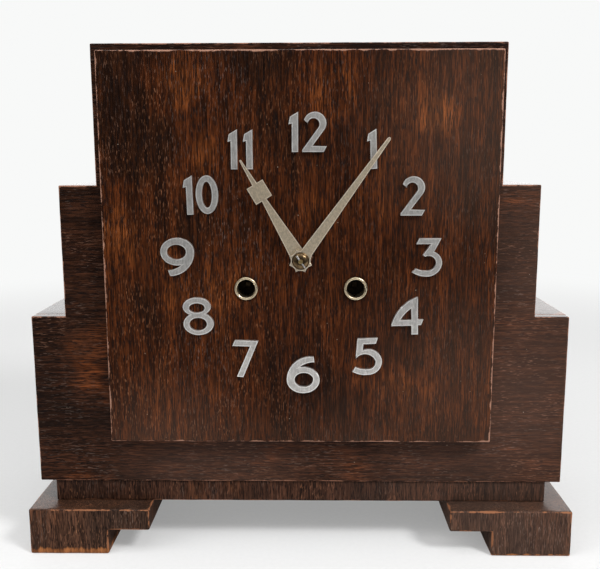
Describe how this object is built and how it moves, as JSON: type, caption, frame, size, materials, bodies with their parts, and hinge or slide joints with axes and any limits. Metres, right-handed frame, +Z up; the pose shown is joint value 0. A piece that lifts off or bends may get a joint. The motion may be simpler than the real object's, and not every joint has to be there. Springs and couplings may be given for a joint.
{
  "type": "mantel clock",
  "caption": "Stepped dark-oak mantel clock with a square dial panel, applied metal numerals, baton hands, two feet, a back door and a striking pendulum movement.",
  "frame": {"origin": "middle of the width and the depth, on the surface that the feet stand on", "axes": "+X to the right seen from the front, +Y to the back, +Z up; the dial faces -Y"},
  "size_m": [0.3886, 0.167, 0.3577],
  "materials": {
    "case_oak": "dark stained open-pored oak, satin, worn pale on the edges",
    "panel_oak": "dark stained open-pored oak, upright grain, satin",
    "numeral_steel": "silver-grey satin with bright edges",
    "hand_nickel": "warm aged nickel, satin",
    "trim_brass": "pale polished brass",
    "movement_brass": "lacquered movement brass",
    "movement_steel": "plain steel",
    "gong_steel": "blued steel"
  },
  "bodies": {
    "case": {"back_board": "case_oak", "back_plate": "movement_brass", "bottom_board": "case_oak", "column_side_left": "case_oak", "column_side_right": "case_oak", "dial_panel": "panel_oak", "foot_left": "case_oak", "foot_right": "case_oak", "front_board": "case_oak", "front_plate": "movement_brass", "gong": "gong_steel", "hinge_case_leaves": "trim_brass", "lower_shoulder_left": "case_oak", "lower_shoulder_right": "case_oak", "lower_side_left": "case_oak", "lower_side_right": "case_oak", "middle_side_left": "case_oak", "middle_side_right": "case_oak", "movement_rails": "case_oak", "numeral_1": "numeral_steel", "numeral_10": "numeral_steel", "numeral_11": "numeral_steel", "numeral_12": "numeral_steel", "numeral_2": "numeral_steel", "numeral_3": "numeral_steel", "numeral_4": "numeral_steel", "numeral_5": "numeral_steel", "numeral_6": "numeral_steel", "numeral_7": "numeral_steel", "numeral_8": "numeral_steel", "numeral_9": "numeral_steel", "pillars": "movement_brass", "plinth_board": "case_oak", "suspension_cock": "movement_brass", "top_board": "case_oak", "upper_shoulder_left": "case_oak", "upper_shoulder_right": "case_oak", "winding_ferrules": "trim_brass"},
    "hands": {"centre_wheel": "movement_brass", "minute_hand": "hand_nickel", "hand_collet": "trim_brass", "taper_pin": "movement_steel"},
    "hour": {"hour_wheel": "movement_brass", "hour_hand": "hand_nickel"},
    "minute_wheel": {"minute_wheel": "movement_brass"},
    "second_wheel": {"second_wheel": "movement_brass"},
    "third_wheel": {"third_wheel": "movement_brass"},
    "escape_wheel": {"escape_wheel": "movement_brass"},
    "time_barrel": {"time_barrel": "movement_brass"},
    "time_winding": {"time_winding_arbor": "movement_steel"},
    "strike_barrel": {"strike_barrel": "movement_brass"},
    "strike_winding": {"strike_winding_arbor": "movement_steel"},
    "pin_wheel": {"pin_wheel": "movement_brass"},
    "strike_fly": {"strike_fly": "movement_brass"},
    "pendulum": {"pendulum": "movement_brass"},
    "anchor": {"anchor": "movement_steel"},
    "hammer": {"hammer": "movement_steel"},
    "door": {"back_door": "case_oak", "hinge_door_leaves": "trim_brass", "door_knob": "trim_brass"}
  },
  "joints": [
    {"name": "minute_spin", "type": "hinge", "parent": "case", "child": "hands", "pos_m": [0.0015, -0.0285, 0.2144], "axis": [0, 1, 0], "continuous": true},
    {"name": "hour_spin", "type": "hinge", "parent": "case", "child": "hour", "pos_m": [0.0015, -0.0285, 0.2144], "axis": [0, 1, 0], "continuous": true},
    {"name": "minute_wheel_spin", "type": "hinge", "parent": "case", "child": "minute_wheel", "pos_m": [0.0015, -0.0285, 0.2], "axis": [0, 1, 0], "continuous": true},
    {"name": "second_wheel_spin", "type": "hinge", "parent": "case", "child": "second_wheel", "pos_m": [0.02664, -0.0285, 0.21612], "axis": [0, 1, 0], "continuous": true},
    {"name": "time_barrel_spin", "type": "hinge", "parent": "case", "child": "time_barrel", "pos_m": [0.0389, -0.0285, 0.1941], "axis": [0, 1, 0], "continuous": true},
    {"name": "third_wheel_spin", "type": "hinge", "parent": "case", "child": "third_wheel", "pos_m": [-0.00258, -0.0285, 0.23756], "axis": [0, 1, 0], "continuous": true},
    {"name": "escape_wheel_spin", "type": "hinge", "parent": "case", "child": "escape_wheel", "pos_m": [0.0015, -0.0285, 0.25623], "axis": [0, 1, 0], "continuous": true},
    {"name": "pendulum_swing", "type": "hinge", "parent": "case", "child": "pendulum", "pos_m": [0.0015, 0.0005, 0.2732], "axis": [0, 1, 0], "range_deg": [-3, 3]},
    {"name": "anchor_rock", "type": "hinge", "parent": "case", "child": "anchor", "pos_m": [0.0015, -0.0285, 0.2732], "axis": [0, 1, 0], "range_deg": [-3, 3]},
    {"name": "time_winding_turn", "type": "hinge", "parent": "case", "child": "time_winding", "pos_m": [0.0389, -0.0285, 0.1941], "axis": [0, 1, 0], "continuous": true},
    {"name": "strike_winding_turn", "type": "hinge", "parent": "case", "child": "strike_winding", "pos_m": [-0.0359, -0.0285, 0.1941], "axis": [0, 1, 0], "continuous": true},
    {"name": "pin_wheel_spin", "type": "hinge", "parent": "case", "child": "pin_wheel", "pos_m": [-0.03152, -0.0285, 0.21892], "axis": [0, 1, 0], "continuous": true},
    {"name": "strike_barrel_spin", "type": "hinge", "parent": "case", "child": "strike_barrel", "pos_m": [-0.0359, -0.0285, 0.1941], "axis": [0, 1, 0], "continuous": true},
    {"name": "fly_spin", "type": "hinge", "parent": "case", "child": "strike_fly", "pos_m": [-0.03465, -0.0285, 0.23664], "axis": [0, 1, 0], "continuous": true},
    {"name": "hammer_lift", "type": "hinge", "parent": "case", "child": "hammer", "pos_m": [-0.0145, 0.0225, 0.1704], "axis": [0, 1, 0], "range_deg": [0, 14], "stiffness_Nm_per_rad": 0.05, "springref_deg": -34.38},
    {"name": "door_hinge", "type": "hinge", "parent": "case", "child": "door", "pos_m": [0.09025, 0.0737, 0.198], "axis": [0, 0, -1], "range_deg": [0, 110]}
  ],
  "couplings": [
    {"joint": "minute_wheel_spin", "follows": "minute_spin", "ratio": -0.33333},
    {"joint": "hour_spin", "follows": "minute_spin", "ratio": 0.083333},
    {"joint": "second_wheel_spin", "follows": "minute_spin", "ratio": -0.2},
    {"joint": "time_barrel_spin", "follows": "minute_spin", "ratio": 0.033333},
    {"joint": "third_wheel_spin", "follows": "minute_spin", "ratio": -11.25},
    {"joint": "escape_wheel_spin", "follows": "minute_spin", "ratio": 135},
    {"joint": "anchor_rock", "follows": "pendulum_swing", "ratio": 1},
    {"joint": "strike_barrel_spin", "follows": "pin_wheel_spin", "ratio": -0.16667},
    {"joint": "fly_spin", "follows": "pin_wheel_spin", "ratio": -8}
  ]
}
